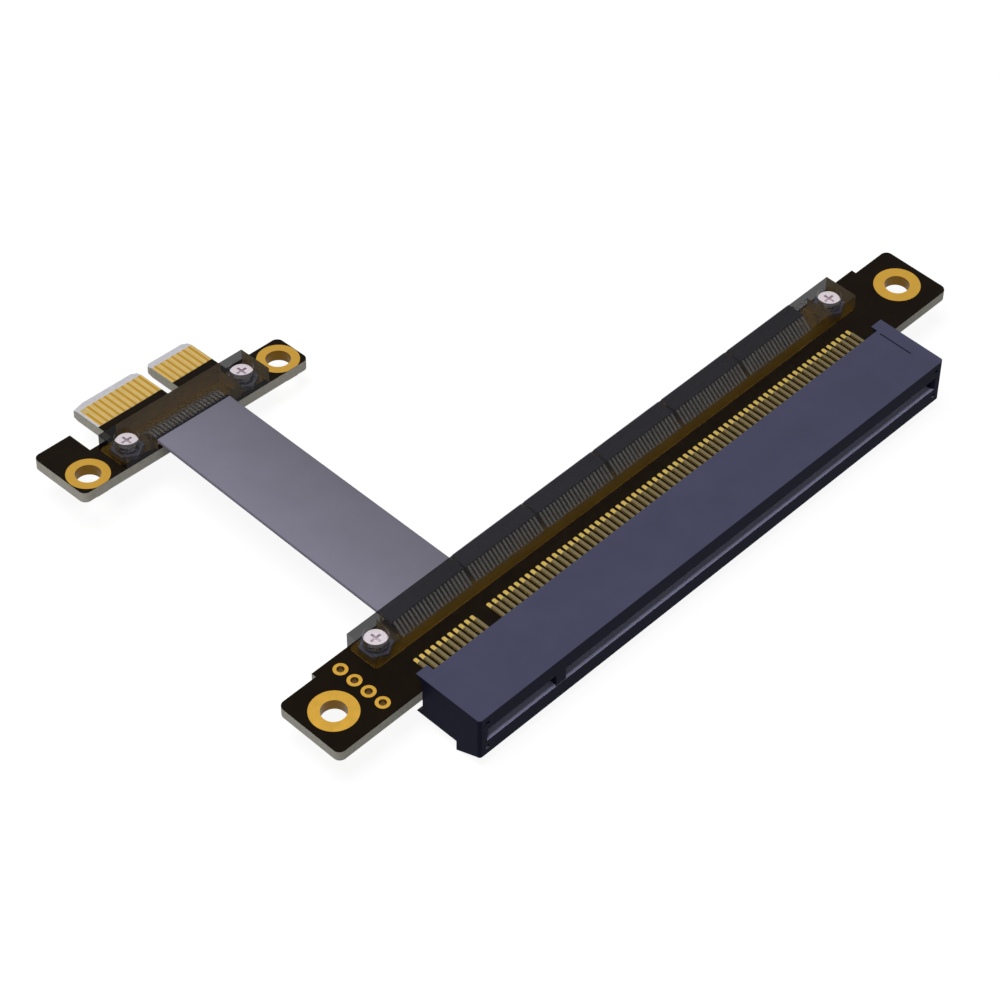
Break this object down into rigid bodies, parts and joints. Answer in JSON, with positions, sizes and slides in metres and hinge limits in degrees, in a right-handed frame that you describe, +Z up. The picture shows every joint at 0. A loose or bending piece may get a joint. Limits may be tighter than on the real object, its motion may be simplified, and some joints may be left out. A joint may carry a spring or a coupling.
{
  "type": "pcie extension cable",
  "caption": "Flat ribbon cable that extends a card slot: a small keyed plug board with gold fingers, and a long card edge socket on a slim board with mounting ears.",
  "frame": {"origin": "bottom centre of the whole cable's box", "axes": "+X from the plug's finger edge to the socket's card mouth, +Y along the socket from its first contact to its last, +Z up out of the socket board's cover side; the plug end is turned 4 degrees about X and 3.2 about Y on its soft ribbon"},
  "size_m": [0.079, 0.1166, 0.0097],
  "materials": {
    "board_mask": "black solder mask over glass fibre board",
    "gold_plating": "bright gold plating",
    "contact_metal": "stamped contact strip with soldered tails",
    "black_moulding": "moulded black plastic",
    "ribbon_jacket": "grey extruded ribbon jacket",
    "smoke_plastic": "clear smoke tinted moulding",
    "tinned_wire": "tinned flat wire",
    "screw_steel": "nickel plated steel"
  },
  "bodies": {
    "root": {"slot_board": "board_mask", "slot_hole_platings": "gold_plating", "slot_contacts_top_near": "contact_metal", "slot_contacts_top_far": "contact_metal", "slot_contacts_bottom_near": "contact_metal", "slot_contacts_bottom_far": "contact_metal", "slot_housing": "black_moulding", "plug_board": "board_mask", "plug_fingers_top": "gold_plating", "plug_fingers_bottom": "gold_plating", "plug_hole_platings": "gold_plating", "ribbon_cable": "ribbon_jacket", "ribbon_stubs": "ribbon_jacket", "slot_cover": "smoke_plastic", "slot_wires": "tinned_wire", "slot_screws": "screw_steel", "slot_spacers": "screw_steel", "plug_cover": "smoke_plastic", "plug_wires": "tinned_wire", "plug_screws": "screw_steel", "plug_spacers": "screw_steel"}
  },
  "joints": []
}
